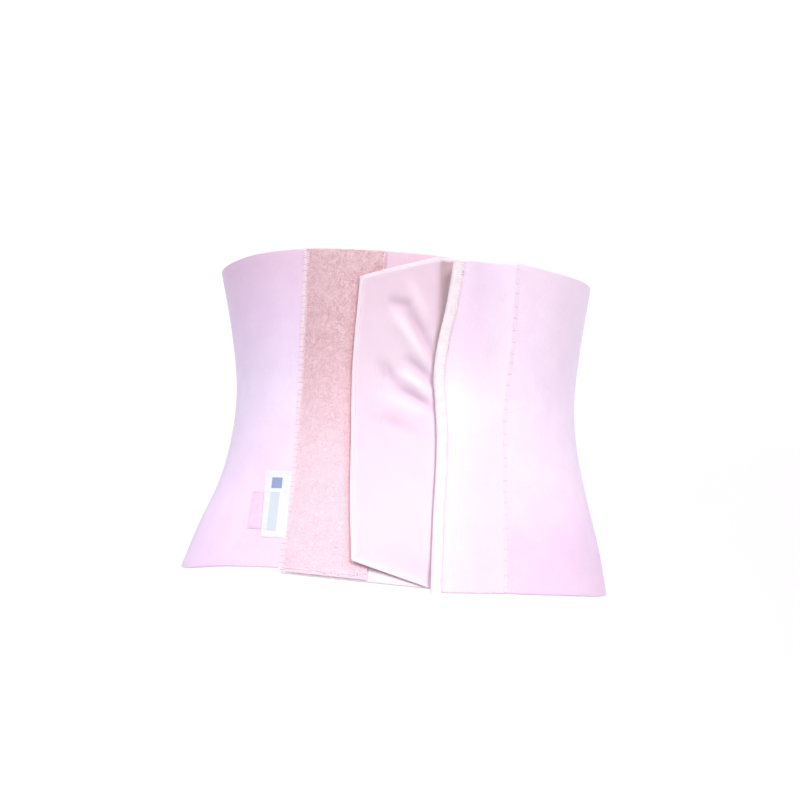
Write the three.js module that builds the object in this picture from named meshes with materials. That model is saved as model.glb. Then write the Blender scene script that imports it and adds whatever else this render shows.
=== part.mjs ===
// A thoracic support belt, fastened as it is worn: an hourglass of laminated knit round the lower ribs and
// the waist, closed in front by a flap that hooks onto a strip of loop pile.
// Millimetres, +Z up, the front towards -Y. Left and right are as seen from the front, so left is -X.
// The origin lies on the body's axis at the waist, the belt's narrowest section.
// A place on the belt is given as a pattern cutter would: s is the way round the body from the front centre
// line, positive to the right, z is the height above the waist, and lift is the height above the body.

import * as THREE from "three";
import { mergeVertices } from "three/addons/utils/BufferGeometryUtils.js";

const { clamp, euclideanModulo, lerp, smoothstep } = THREE.MathUtils;

// Thickness of each layer of cloth, and the clearance between layers that lie on each other.
const WALL = 2.5;
const LOOP_PILE = 1.2;
const HOOK_TAPE = 0.8;
const FLAP_CLOTH = 1.4;
const BINDING_TAPE = 0.7;
const LABEL_TAPE = 0.5;
const GAP = 0.3;

// The body that the belt is worn on: half widths to either side and depths to front and back, by height.
const BODY_SECTIONS = [
  { z: -152, leftSide: 174.5, rightSide: 172.5, front: 127, back: 124 },
  { z: -110, leftSide: 160.5, rightSide: 164.0, front: 119, back: 118 },
  { z: -70, leftSide: 145.5, rightSide: 152.5, front: 109.5, back: 108 },
  { z: -30, leftSide: 138.0, rightSide: 142.5, front: 103, back: 100 },
  { z: 5, leftSide: 137.0, rightSide: 138.5, front: 101, back: 97 },
  { z: 50, leftSide: 144.0, rightSide: 141.5, front: 105, back: 102 },
  { z: 106, leftSide: 158.0, rightSide: 149.0, front: 113, back: 112 },
];

// The two seams that join the front panels to the side and back panel. The right one is pulled to the left at
// the waist, where the closure is tightest, and the left one bends outwards above the lower rim.
const RIGHT_SEAM = [
  { z: -152, s: 84.4 },
  { z: -110, s: 83.2 },
  { z: -55, s: 81 },
  { z: -8, s: 79.8 },
  { z: 40, s: 83.9 },
  { z: 107, s: 84.2 },
];
const LEFT_SEAM = [
  { z: -152, s: -87.4 },
  { z: -118, s: -84.6 },
  { z: -90, s: -83.2 },
  { z: -50, s: -82.7 },
  { z: 30, s: -83.5 },
  { z: 107, s: -83.5 },
];
const SEAM_GAP = 0.4;

// Upper and lower rim of each panel, from its first edge (along 0) to its last (along 1), going to +s.
const WRAP_RIMS = [
  { along: 0, top: 104.8, bottom: -150.2 },
  { along: 0.06, top: 103.4, bottom: -149.8 },
  { along: 0.15, top: 103.6, bottom: -149 },
  { along: 0.5, top: 102, bottom: -139 },
  { along: 0.72, top: 101.4, bottom: -140.5 },
  { along: 0.8, top: 100.6, bottom: -144.3 },
  { along: 0.86, top: 101.4, bottom: -145.4 },
  { along: 0.93, top: 105, bottom: -142 },
  { along: 1, top: 106.5, bottom: -140.4 },
];
const LEFT_FRONT_RIMS = [
  { along: 0, top: 106.5, bottom: -144.5 },
  { along: 0.5, top: 104.5, bottom: -147.5 },
  { along: 0.83, top: 102.6, bottom: -149.6 },
  { along: 1, top: 99.5, bottom: -150.5 },
];
const RIGHT_FRONT_RIMS = [
  { along: 0, top: 97.6, bottom: -152 },
  { along: 0.25, top: 99.8, bottom: -151.6 },
  { along: 1, top: 103.6, bottom: -150.2 },
];

// The left front panel begins at the left seam, about here, and runs on under the closure.
const LEFT_FRONT_FROM_S = -83.5;
const UNDERLAP_S = 50;

// The strip of loop pile on the left front panel, let in from the panel's rims.
const LOOP_STRIP = { fromSeam: 1, toS: -20, topInset: 0.6, bottomInset: 1.6 };

// The hook tape behind the flap's end.
const HOOK_PATCH = {
  bottom: { z: -124, fromS: -31.5, toS: -21.5 },
  top: { z: 76, fromS: -31.5, toS: -21.5 },
};

// The flap: a free end that is shorter than the root, with slanting edges between them. Its top is tucked
// down where it goes under the right panel.
const FLAP_END = [
  { z: -132, s: -31.8 },
  { z: -88, s: -36 },
  { z: -40, s: -38.3 },
  { z: 15, s: -40.6 },
  { z: 84, s: -38.7 },
];
const FLAP_TOP = { endZ: 84, rootZ: 101, slantToS: 18 };
const FLAP_BOTTOM = { endZ: -132, rootZ: -149.5, slantToS: 27 };
const FLAP_TUCK = { fromS: 28, toS: 42, z: 96 };
const FLAP_ROOT_S = 52;
const FLAP_SEWN_S = { from: 39, to: 45 };

// Pull folds on the flap. Each runs from a root beside the right panel's edge to a tip on the flap, and the
// last lays the lower edge down. Height is the rise of a fold's crest, negative in a valley, and width is its
// half width.
const FLAP_FOLDS = [
  { rootS: 24, rootZ: 24, tipS: 27, tipZ: 170, height: -2.4, width: 5 },
  { rootS: 15, rootZ: 48, tipS: -6, tipZ: 87, height: 1.2, width: 5 },
  { rootS: 24, rootZ: 17, tipS: -6, tipZ: 68, height: -2.4, width: 4.5 },
  { rootS: 2, rootZ: 62, tipS: -18, tipZ: 67, height: -1.5, width: 4 },
  { rootS: 17, rootZ: 18, tipS: -15, tipZ: 60, height: 2.3, width: 5 },
  { rootS: 24, rootZ: 1.5, tipS: -3, tipZ: 26, height: -2.6, width: 4 },
  { rootS: 20, rootZ: -5, tipS: -8, tipZ: 14, height: 2.5, width: 4 },
  { rootS: 25, rootZ: -16.5, tipS: -10, tipZ: 2, height: -2.6, width: 3.5 },
  { rootS: -6, rootZ: -1, tipS: -23, tipZ: 25, height: -2.0, width: 4 },
  { rootS: 18, rootZ: -21, tipS: -25, tipZ: -5, height: 1.3, width: 6 },
  { rootS: 14, rootZ: -36, tipS: -31, tipZ: -18, height: -1.2, width: 5 },
  { rootS: 60, rootZ: -158, tipS: -24, tipZ: -128, height: -2.6, width: 12 },
];
const FOLD_MARGIN = 5;

// The free edge of the right front panel, and how far it gapes from the flap, by height.
const PANEL_EDGE = [
  { z: -152, s: 27.8, gape: 0 },
  { z: -105, s: 27.1, gape: 0 },
  { z: -37, s: 26.8, gape: 0 },
  { z: -6, s: 23.9, gape: 0 },
  { z: 10, s: 22.1, gape: 0.3 },
  { z: 38, s: 23.8, gape: 1.5 },
  { z: 60, s: 27.4, gape: 3.2 },
  { z: 102, s: 31.4, gape: 6.5 },
];
const PANEL_GAPE_WIDTH = 30;
const PANEL_STEPS_DOWN_S = { from: 37, to: 81 };

// The tape folded round that edge: the width of its leaves, and the steps in each leaf and in the turn.
const BINDING_WIDTH = 5.5;
const BINDING_LEAF_STEPS = 2;
const BINDING_TURN_STEPS = 6;
const BINDING_STEPS = 2 * BINDING_LEAF_STEPS + BINDING_TURN_STEPS;

// The label at the left seam and the small tab beside it, which follows the label's slanting edge.
const LABEL = {
  bottom: { z: -118, fromS: -106.3, toS: -84.8 },
  top: { z: -66.5, fromS: -109.3, toS: -84.8 },
};
const SIZE_TAB = {
  bottom: { z: -112, fromS: -120, toS: -107 },
  top: { z: -82.5, fromS: -120, toS: -108.7 },
};

// Each piece's grid of faces, and its colour and roughness.
const PIECES = {
  wrap_panel: { columns: 44, rows: 18, color: 0xf3ddf5, roughness: 0.9 },
  left_front_panel: { columns: 13, rows: 16, color: 0xf0dcf0, roughness: 0.9 },
  right_front_panel: { columns: 12, rows: 18, color: 0xf7e6f7, roughness: 0.9 },
  loop_strip: { columns: 6, rows: 16, color: 0xeac4cd, roughness: 1 },
  hook_patch: { columns: 3, rows: 16, color: 0xf2e4ea, roughness: 0.7 },
  closure_flap: { columns: 28, rows: 46, color: 0xf7e1f1, roughness: 0.6 },
  edge_binding: { columns: BINDING_STEPS, rows: 18, color: 0xfdf5f4, roughness: 0.8 },
  label: { columns: 3, rows: 4, color: 0xf6f9fb, roughness: 0.6 },
  size_tab: { columns: 2, rows: 3, color: 0xf8d8ea, roughness: 0.7 },
};

// A smooth function through the rows of a table: it gives the other columns at any value of the key column.
function smoothTable(rows, key) {
  const columns = Object.keys(rows[0]).filter((name) => name !== key);
  const spline = new THREE.CubicInterpolant(
    rows.map((row) => row[key]),
    rows.flatMap((row) => columns.map((name) => row[name])),
    columns.length,
  );
  return (at) => {
    const values = spline.evaluate(at);
    return Object.fromEntries(columns.map((name, i) => [name, values[i]]));
  };
}

const bodyForm = smoothTable(BODY_SECTIONS, "z");
const rightSeam = smoothTable(RIGHT_SEAM, "z");
const leftSeam = smoothTable(LEFT_SEAM, "z");
const wrapRims = smoothTable(WRAP_RIMS, "along");
const leftFrontRims = smoothTable(LEFT_FRONT_RIMS, "along");
const rightFrontRims = smoothTable(RIGHT_FRONT_RIMS, "along");
const flapEnd = smoothTable(FLAP_END, "z");
const panelEdge = smoothTable(PANEL_EDGE, "z");

// The body's outline at a height, from the front centre line to the right, round the back and home.
function bodyOutline(z) {
  const { leftSide, rightSide, front, back } = bodyForm(z);
  const outline = new THREE.CurvePath();
  const quarter = (width, depth, from) =>
    outline.add(new THREE.EllipseCurve(0, 0, width, depth, from, from + Math.PI / 2));
  quarter(rightSide, front, -Math.PI / 2);
  quarter(rightSide, back, 0);
  quarter(leftSide, back, Math.PI / 2);
  quarter(leftSide, front, Math.PI);
  return outline;
}

// The point at s and z that stands out from the body by lift.
function onBody(s, z, lift) {
  const outline = bodyOutline(z);
  const share = euclideanModulo(s / outline.getLength(), 1);
  const point = outline.getPoint(share);
  const along = outline.getTangent(share);
  return new THREE.Vector3(point.x + lift * along.y, point.y - lift * along.x, z);
}

// A closed piece of cloth on a grid of columns and rows. place(u, v, w) lays each corner: u goes across the
// piece to +s, v up it, and w from its inner face to its outer face, each from 0 to 1.
function cloth(name, place) {
  const { columns, rows, color, roughness } = PIECES[name];
  const slab = new THREE.BoxGeometry(1, 1, 1, columns, rows, 1).translate(0.5, 0.5, 0.5);
  slab.deleteAttribute("normal");
  slab.deleteAttribute("uv");
  const geometry = mergeVertices(slab);
  const corners = geometry.attributes.position;
  for (let i = 0; i < corners.count; i += 1) {
    const corner = place(corners.getX(i), corners.getY(i), corners.getZ(i));
    corners.setXYZ(i, corner.x, corner.y, corner.z);
  }
  geometry.computeVertexNormals();
  const material = new THREE.MeshStandardMaterial({ color, roughness, metalness: 0 });
  const mesh = new THREE.Mesh(geometry, material);
  mesh.name = name;
  return mesh;
}

// A flat piece of tape with straight edges that lies on the belt with its inner face at a given lift.
function tapePiece(name, { bottom, top }, lift, thickness) {
  return cloth(name, (u, v, w) => {
    const s = lerp(lerp(bottom.fromS, top.fromS, v), lerp(bottom.toS, top.toS, v), u);
    return onBody(s, lerp(bottom.z, top.z, v), lift + w * thickness);
  });
}

// The sides and the back, from the right seam round to the left seam.
function wrapPanel() {
  return cloth("wrap_panel", (u, v, w) => {
    const { top, bottom } = wrapRims(u);
    const z = lerp(bottom, top, v);
    const fromSeam = rightSeam(z).s;
    const toSeam = bodyOutline(z).getLength() + leftSeam(z).s;
    return onBody(lerp(fromSeam + SEAM_GAP / 2, toSeam - SEAM_GAP / 2, u), z, w * WALL);
  });
}

// The left front panel, from the left seam to its edge under the closure.
function leftFrontPanel() {
  return cloth("left_front_panel", (u, v, w) => {
    const { top, bottom } = leftFrontRims(u);
    const z = lerp(bottom, top, v);
    return onBody(lerp(leftSeam(z).s + SEAM_GAP / 2, UNDERLAP_S, u), z, w * WALL);
  });
}

const loopLift = WALL + GAP;

// The strip covers this much of the panel's width, and follows the panel's rims.
const loopStripShare = (LOOP_STRIP.toS - LEFT_FRONT_FROM_S) / (UNDERLAP_S - LEFT_FRONT_FROM_S);

function loopStrip() {
  const { fromSeam, toS, topInset, bottomInset } = LOOP_STRIP;
  return cloth("loop_strip", (u, v, w) => {
    const { top, bottom } = leftFrontRims(u * loopStripShare);
    const z = lerp(bottom + bottomInset, top - topInset, v);
    return onBody(lerp(leftSeam(z).s + fromSeam, toS, u), z, loopLift + w * LOOP_PILE);
  });
}

const hookLift = loopLift + LOOP_PILE + GAP;
const flapLift = hookLift + HOOK_TAPE + GAP;
const panelEdgeLift = flapLift + FLAP_CLOTH + GAP + BINDING_TAPE + GAP;

// The lift of the right front panel's inner face: raised over the flap, gaping at its free edge, and down on
// the body again before the seam.
function rightFrontLift(s, z) {
  const edge = panelEdge(z);
  const onFlap = 1 - smoothstep(s, PANEL_STEPS_DOWN_S.from, PANEL_STEPS_DOWN_S.to);
  const atEdge = 1 - smoothstep(s, edge.s, edge.s + PANEL_GAPE_WIDTH);
  return panelEdgeLift * onFlap + edge.gape * atEdge;
}

function rightFrontPanel() {
  return cloth("right_front_panel", (u, v, w) => {
    const { top, bottom } = rightFrontRims(u);
    const z = lerp(bottom, top, v);
    const s = lerp(panelEdge(z).s, rightSeam(z).s - SEAM_GAP / 2, u);
    return onBody(s, z, rightFrontLift(s, z) + w * WALL);
  });
}

// The tape folded round the right front panel's free edge: an inner leaf, a round turn and an outer leaf.
function edgeBinding() {
  const innerRadius = WALL / 2 + GAP;
  return cloth("edge_binding", (u, v, w) => {
    const { top, bottom } = rightFrontRims(0);
    const z = lerp(bottom, top, v);
    const edge = panelEdge(z).s;
    const radius = innerRadius + w * BINDING_TAPE;
    const step = Math.round(u * BINDING_STEPS) - BINDING_LEAF_STEPS;
    const turn = Math.PI * (clamp(step / BINDING_TURN_STEPS, 0, 1) - 0.5);
    const leafSteps = Math.max(-step, step - BINDING_TURN_STEPS, 0);
    const s = edge + (leafSteps / BINDING_LEAF_STEPS) * BINDING_WIDTH - radius * Math.cos(turn);
    const middle = rightFrontLift(Math.max(s, edge), z) + WALL / 2;
    return onBody(s, z, middle + radius * Math.sin(turn));
  });
}

// The rise of the flap's folds at a place: each fades across its width and towards both its ends.
function foldRise(s, z) {
  let rise = 0;
  for (const { rootS, rootZ, tipS, tipZ, height, width } of FLAP_FOLDS) {
    const run = new THREE.Vector2(tipS - rootS, tipZ - rootZ);
    const at = new THREE.Vector2(s - rootS, z - rootZ);
    const share = at.dot(run) / run.lengthSq();
    const across = at.cross(run) / run.length() / width;
    rise += height * Math.exp(-across * across) * Math.sin(Math.PI * clamp(share, 0, 1));
  }
  return rise;
}

// The top of what lies under the flap, with a margin to the right of the hook tape and of the loop strip.
function topUnderFlap(s) {
  if (s < HOOK_PATCH.top.toS + FOLD_MARGIN) return hookLift + HOOK_TAPE;
  return s < LOOP_STRIP.toS + FOLD_MARGIN ? loopLift + LOOP_PILE : WALL;
}

// The lift of the flap's inner face: over the hook tape, through the folds, and up to the panel that it is
// sewn to.
function flapInnerLift(s, z) {
  const free = Math.max(flapLift + foldRise(s, z), topUnderFlap(s) + GAP);
  const sewn = rightFrontLift(s, z) - GAP - FLAP_CLOTH;
  return lerp(free, sewn, smoothstep(s, FLAP_SEWN_S.from, FLAP_SEWN_S.to));
}

function closureFlap() {
  return cloth("closure_flap", (u, v, w) => {
    const endZ = lerp(FLAP_BOTTOM.endZ, FLAP_TOP.endZ, v);
    const endS = flapEnd(endZ).s;
    const slantToS = lerp(FLAP_BOTTOM.slantToS, FLAP_TOP.slantToS, v);
    const s = lerp(endS, FLAP_ROOT_S, u);
    const tucked = smoothstep(s, FLAP_TUCK.fromS, FLAP_TUCK.toS);
    const rootZ = lerp(FLAP_BOTTOM.rootZ, lerp(FLAP_TOP.rootZ, FLAP_TUCK.z, tucked), v);
    const z = lerp(endZ, rootZ, clamp((s - endS) / (slantToS - endS), 0, 1));
    return onBody(s, z, flapInnerLift(s, z) + w * FLAP_CLOTH);
  });
}

const wrap = new THREE.Group();
wrap.add(
  wrapPanel(),
  tapePiece("label", LABEL, WALL + GAP, LABEL_TAPE),
  tapePiece("size_tab", SIZE_TAB, WALL + GAP, LABEL_TAPE),
);

const leftEnd = new THREE.Group();
leftEnd.add(leftFrontPanel(), loopStrip());

const rightEnd = new THREE.Group();
rightEnd.add(
  rightFrontPanel(),
  edgeBinding(),
  closureFlap(),
  tapePiece("hook_patch", HOOK_PATCH, hookLift, HOOK_TAPE),
);

const belt = new THREE.Group();
belt.add(wrap, leftEnd, rightEnd);

export default belt;
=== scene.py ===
# %% [markdown]
# # A thoracic support belt
# The belt is a wide hourglass of foam-backed knit, worn round the lower ribs and the waist and closed in
# front by a flap that hooks onto loop pile. The frame holds a plain closed solid for each layer of cloth.
# Each layer is made again here in the same place, as a fine mesh with rounded edges, stitches and a weave.

# %% Load the frame
import math
import bpy
import numpy as np
from mathutils import Matrix, Vector
from types import SimpleNamespace


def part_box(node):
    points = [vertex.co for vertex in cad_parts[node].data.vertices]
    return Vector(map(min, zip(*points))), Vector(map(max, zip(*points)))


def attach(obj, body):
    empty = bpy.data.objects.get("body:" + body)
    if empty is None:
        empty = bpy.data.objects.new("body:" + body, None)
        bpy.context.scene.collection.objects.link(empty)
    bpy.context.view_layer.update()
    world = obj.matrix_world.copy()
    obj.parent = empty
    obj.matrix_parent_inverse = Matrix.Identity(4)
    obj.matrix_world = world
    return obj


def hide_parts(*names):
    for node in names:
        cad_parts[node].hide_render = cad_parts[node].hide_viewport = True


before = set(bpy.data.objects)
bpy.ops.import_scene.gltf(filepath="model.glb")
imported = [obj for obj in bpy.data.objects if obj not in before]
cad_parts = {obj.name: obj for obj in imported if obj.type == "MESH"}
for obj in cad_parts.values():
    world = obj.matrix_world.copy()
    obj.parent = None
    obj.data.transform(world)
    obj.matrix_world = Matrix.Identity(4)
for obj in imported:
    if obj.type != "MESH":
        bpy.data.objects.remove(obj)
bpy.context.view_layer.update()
print("solids:", ", ".join(sorted(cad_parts)))

# %% [markdown]
# ## The body under the cloth
# Cloth that is fastened round a trunk takes the trunk's form. A sculpted torso could carry it, but a pattern
# cutter works with a few girths: half widths and depths at some heights, and a smooth curve through them.
# Each section is four quarter ellipses. A place on the belt is then given as on a paper pattern: so many
# millimetres round from the front centre line, so many up from the waist.

# %% Smooth curves through short tables
MM = 0.001


def smooth_columns(rows):
    """A smooth function through the rows of a table, asked by its first column."""
    table = np.array(rows, float)
    knots, values = table[:, 0], table[:, 1:]
    slopes = np.diff(values, axis=0) / np.diff(knots)[:, None]
    tangents = np.vstack([slopes[:1], (slopes[1:] + slopes[:-1]) / 2, slopes[-1:]])

    def at(x):
        x = np.clip(np.asarray(x, float), knots[0], knots[-1])
        i = np.clip(np.searchsorted(knots, x, "right") - 1, 0, len(knots) - 2)
        span = (knots[i + 1] - knots[i])[..., None]
        t = (x - knots[i])[..., None] / span
        ends = values[i] * (1 + 2 * t) * (1 - t) ** 2 + values[i + 1] * t * t * (3 - 2 * t)
        smooth = ends + span * t * (1 - t) * (tangents[i] * (1 - t) - tangents[i + 1] * t)
        columns = np.moveaxis(smooth, -1, 0)
        return columns if len(columns) > 1 else columns[0]

    return at


# Height, half widths to the left and right as seen from the front, depths to the front and the back.
body_form = smooth_columns([
    (-152, 174.5, 172.5, 127, 124),
    (-110, 160.5, 164.0, 119, 118),
    (-70, 145.5, 152.5, 109.5, 108),
    (-30, 138.0, 142.5, 103, 100),
    (5, 137.0, 138.5, 101, 97),
    (50, 144.0, 141.5, 105, 102),
    (106, 158.0, 149.0, 113, 112),
])
print("waist, left right front back in mm:", body_form(0.0).round(1))

# %% Places on the body
HALF_TURN = np.linspace(0, math.pi, 241)
BATCH = 20000


def half_lengths(width, front, back):
    """Lengths along half of the body's outline, from the front centre line to the back, in mm."""
    depth = np.where(HALF_TURN < math.pi / 2, front[:, None], back[:, None])
    x, y = width[:, None] * np.sin(HALF_TURN), depth * np.cos(HALF_TURN)
    steps = np.hypot(np.diff(x, axis=1), np.diff(y, axis=1))
    return np.hstack([np.zeros((len(width), 1)), np.cumsum(steps, axis=1)])


def girth(z):
    """The length all round the body at heights z, in mm."""
    left, right, front, back = body_form(np.ravel(z))
    halves = half_lengths(left, front, back)[:, -1] + half_lengths(right, front, back)[:, -1]
    return halves.reshape(np.shape(z))


def some_on_body(s, z, lift):
    """Points in mm, for one batch of places."""
    left, right, front, back = body_form(z)
    on_right, on_left = half_lengths(right, front, back), half_lengths(left, front, back)
    s = np.where(s > on_right[:, -1], s - on_right[:, -1] - on_left[:, -1], s)
    side = np.where(s < 0, -1, 1)
    width = np.where(s < 0, left, right)
    lengths = np.where(s[:, None] < 0, on_left, on_right)
    i = np.clip((lengths < np.abs(s)[:, None]).sum(axis=1) - 1, 0, len(HALF_TURN) - 2)
    row = np.arange(len(i))
    part = (np.abs(s) - lengths[row, i]) / (lengths[row, i + 1] - lengths[row, i])
    turn = HALF_TURN[i] + part * HALF_TURN[1]
    depth = np.where(turn < math.pi / 2, front, back)
    out = np.stack([side * depth * np.sin(turn), -width * np.cos(turn)])
    out /= np.linalg.norm(out, axis=0)
    x = side * width * np.sin(turn) + lift * out[0]
    y = -depth * np.cos(turn) + lift * out[1]
    return np.stack([x, y, z], axis=1)


def on_body(s, z, lift):
    """Points in metres: s mm round from the front centre, z mm above the waist, lift mm off the body."""
    s, z, lift = (a.ravel().astype(float) for a in np.broadcast_arrays(s, z, lift))
    batches = np.array_split(np.arange(s.size), 1 + s.size // BATCH)
    return np.vstack([some_on_body(s[b], z[b], lift[b]) for b in batches]) * MM


print("girth at the upper rim, the waist and the lower rim in mm:", girth([102, 0, -150]).round())

# %% [markdown]
# ## Cloth with a rounded edge
# A cut edge of foam-backed knit is soft and round. Solidify and Bevel modifiers on a flat grid would do, but
# the bevel also rounds places where two panels meet. Here a sheet's two faces are grids that share their
# outermost points and crowd together there, so that the edge is a half circle, or nearly square where it is
# sewn flush to its neighbour. The pattern's millimetres are kept as UV coordinates, for the weave to follow.

# %% Rounded edges
EDGE_STEPS = np.radians([0, 25, 50, 75, 90])


def edge_to_edge(length, step, radius):
    """Places from 0 to 1 across a sheet, and the share of its thickness there."""
    turn, rise = radius * (1 - np.cos(EDGE_STEPS)), np.sin(EDGE_STEPS)
    inner = np.linspace(radius, length - radius, max(3, round(length / step)))[1:-1]
    places = np.concatenate([turn, inner, length - turn[::-1]]) / length
    return places, np.concatenate([rise, np.ones(len(inner)), rise[::-1]])


print("steps round a cut edge in degrees:", np.degrees(EDGE_STEPS).round())

# %% Sheets of cloth
def quads(grid):
    """Faces between the lines of one or more grids of point numbers."""
    corners = [grid[..., :-1, :-1], grid[..., :-1, 1:], grid[..., 1:, 1:], grid[..., 1:, :-1]]
    return np.stack(corners, -1).reshape(-1, 4)


def in_scene(name, data):
    thing = bpy.data.objects.new(name, data)
    bpy.context.scene.collection.objects.link(thing)
    return thing


def woven_piece(name, points, faces, s, z, shares=None):
    """A smooth mesh whose pattern places (s, z) in mm are kept as UV coordinates in metres.

    shares are functions of s and z with values from 0 to 1, kept on the points for a finish to read.
    """
    mesh = bpy.data.meshes.new(name)
    mesh.from_pydata(points.tolist(), [], faces)
    corner = np.empty(len(mesh.loops), np.int32)
    mesh.loops.foreach_get("vertex_index", corner)
    places = np.stack([s.ravel(), z.ravel()], -1)
    mesh.uv_layers.new(name="weave").data.foreach_set("uv", (places[corner] * MM).ravel())
    mesh.shade_smooth()
    for share, at in (shares or {}).items():
        values = at(s, z).ravel().astype(np.float32)
        mesh.attributes.new(share, "FLOAT", "POINT").data.foreach_set("value", values)
    return in_scene(name, mesh)


def cloth_sheet(name, cut, thickness, lay, step, edge=None, shares=None, even_weave=False):
    """A closed sheet of cloth.

    cut is its width and height in mm, step the size of its faces and edge the reach of the rounding at its
    sides. lay(u, v, out) gives s, z and lift for places across and up the sheet, out mm from its middle. An
    even weave is spread from side to side, and otherwise it runs straight up.
    """
    u, rise_u = edge_to_edge(cut[0], step, edge or thickness / 2)
    v, rise_v = edge_to_edge(cut[1], step, thickness / 2)
    u, v = np.meshgrid(u, v)
    half = thickness / 2 * np.outer(rise_v, rise_u)
    outer, inner = on_body(*lay(u, v, half)), on_body(*lay(u, v, -half))
    inside = np.zeros(u.shape, bool)
    inside[1:-1, 1:-1] = True
    front = np.arange(u.size).reshape(u.shape)
    back = front.copy()
    back[inside] = u.size + np.arange(inside.sum())
    faces = np.vstack([quads(front), quads(back)[:, ::-1]]).tolist()
    s, z, _ = np.broadcast_arrays(*lay(u, v, 0 * half))
    weave = (u * cut[0] if even_weave else s), z
    s, z = (np.concatenate([places.ravel(), places[inside]]) for places in weave)
    return woven_piece(name, np.vstack([outer, inner[inside.ravel()]]), faces, s, z, shares)


def dress(piece, material, solid=None):
    """Gives a piece its finish and its place in the frame, and lets it stand for a solid."""
    piece.data.materials.append(material)
    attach(piece, "root")
    if solid:
        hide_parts(solid)
        low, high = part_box(solid)
        points = np.array([corner[:] for corner in piece.bound_box])
        apart = np.abs(np.concatenate([points.min(0) - low, points.max(0) - high])).max()
        print(f"{piece.name}: {len(piece.data.polygons)} faces, box {apart / MM:.2f} mm from its solid's")


print("solids to stand for:", len(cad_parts))

# %% [markdown]
# ## Finishes
# Every finish is a Principled BSDF fed by procedural textures in the cloth's own millimetres. One helper
# makes a node, sets its numbers and links its sockets, so that each finish below reads as a list of what is
# seen: a dye that isn't quite even, a weave, and a nap that catches light.

# %% Helpers for colour
def dye(hexadecimal):
    """A colour as read off a screen, turned into the linear values that a shader takes."""
    parts = [int(hexadecimal[i:i + 2], 16) / 255 for i in (0, 2, 4)]
    return [p / 12.92 if p <= 0.04045 else ((p + 0.055) / 1.055) ** 2.4 for p in parts] + [1]


def node(look, kind, sockets=None, **settings):
    """A shader node with its settings; a socket is given a value or another node's output."""
    made = look.tree.nodes.new(kind)
    for name, value in settings.items():
        setattr(made, name, value)
    for name, value in (sockets or {}).items():
        if isinstance(value, bpy.types.NodeSocket):
            look.tree.links.new(value, made.inputs[name])
        else:
            made.inputs[name].default_value = value
    return made


def mixed(look, share, first, second):
    """A colour between two, by a share from 0 to 1."""
    first_socket, second_socket, result = 6, 7, 2
    sockets = {"Factor": share, first_socket: first, second_socket: second}
    return node(look, "ShaderNodeMix", sockets, data_type="RGBA").outputs[result]


def stretched(look, share, low, high):
    """A share with its range from low to high spread from 0 to 1."""
    sockets = {"Value": share, "From Min": low, "From Max": high}
    return node(look, "ShaderNodeMapRange", sockets).outputs["Result"]


def weighted(look, patterns):
    """The sum of some patterns, each with its weight."""
    total = 0.0
    for pattern, weight in patterns:
        made = node(look, "ShaderNodeMath", {0: pattern, 1: weight, 2: total}, operation="MULTIPLY_ADD")
        total = made.outputs[0]
    return total


def dyed_by_height(look, share, rows):
    """A colour from rows of height in mm, deep dye and light dye, from the bottom up."""
    height = node(look, "ShaderNodeSeparateXYZ", {"Vector": look.weave}).outputs["Y"]
    (below, deep, light), *others = rows
    colour = mixed(look, share, dye(deep), dye(light))
    for z, deep, light in others:
        here = mixed(look, share, dye(deep), dye(light))
        colour = mixed(look, stretched(look, height, below * MM, z * MM), colour, here)
        below = z
    return colour


print("a screen's middle grey in linear light:", round(dye("808080")[0], 3))

# %% Helpers for surface
NOISE_RANGE = 0.3, 0.7
# Blender's wave texture multiplies its coordinate by this.
WAVE_FACTOR = 20


def new_material(name, sockets):
    """A material with values for some sockets of its Principled BSDF."""
    material = bpy.data.materials.new(name)
    material.use_nodes = True
    for socket, value in sockets.items():
        material.node_tree.nodes["Principled BSDF"].inputs[socket].default_value = value
    return material


def new_look(name, roughness, nap, nap_dye):
    """A cloth's material with its node tree, its Principled BSDF's sockets and the cloth's coordinates."""
    sockets = {"Roughness": roughness, "Specular IOR Level": 0.25, "Sheen Weight": nap}
    sockets |= {"Sheen Roughness": 0.45, "Sheen Tint": dye(nap_dye)}
    material = new_material(name, sockets)
    look = SimpleNamespace(material=material, tree=material.node_tree)
    look.surface = look.tree.nodes["Principled BSDF"].inputs
    look.weave = node(look, "ShaderNodeUVMap", uv_map="weave").outputs["UV"]
    return look


def grain(look, scale, detail=3.0, curl=0.0):
    """A soft random pattern from 0 to 1, with scale in grains per metre."""
    sockets = {"Vector": look.weave, "Scale": scale, "Detail": detail, "Distortion": curl}
    return stretched(look, node(look, "ShaderNodeTexNoise", sockets).outputs["Fac"], *NOISE_RANGE)


def ribs(look, period, direction):
    """Even ribs across or along the cloth, one in each period in mm."""
    scale = 2 * math.pi / (WAVE_FACTOR * period * MM)
    settings = {"wave_type": "BANDS", "bands_direction": direction, "wave_profile": "SIN"}
    sockets = {"Vector": look.weave, "Scale": scale, "Distortion": 0.6, "Detail": 1.0, "Detail Scale": 0.4}
    return node(look, "ShaderNodeTexWave", sockets, **settings).outputs["Fac"]


def finished(look, colour, patterns, depth):
    """The material with its colour, and with bumps from weighted patterns up to a depth in mm."""
    look.tree.links.new(colour, look.surface["Base Color"])
    sockets = {"Height": weighted(look, patterns), "Strength": 1.0, "Distance": depth * MM}
    bump = node(look, "ShaderNodeBump", sockets)
    look.tree.links.new(bump.outputs["Normal"], look.surface["Normal"])
    return look.material


print("noise from", *NOISE_RANGE, "is spread from 0 to 1")

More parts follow.
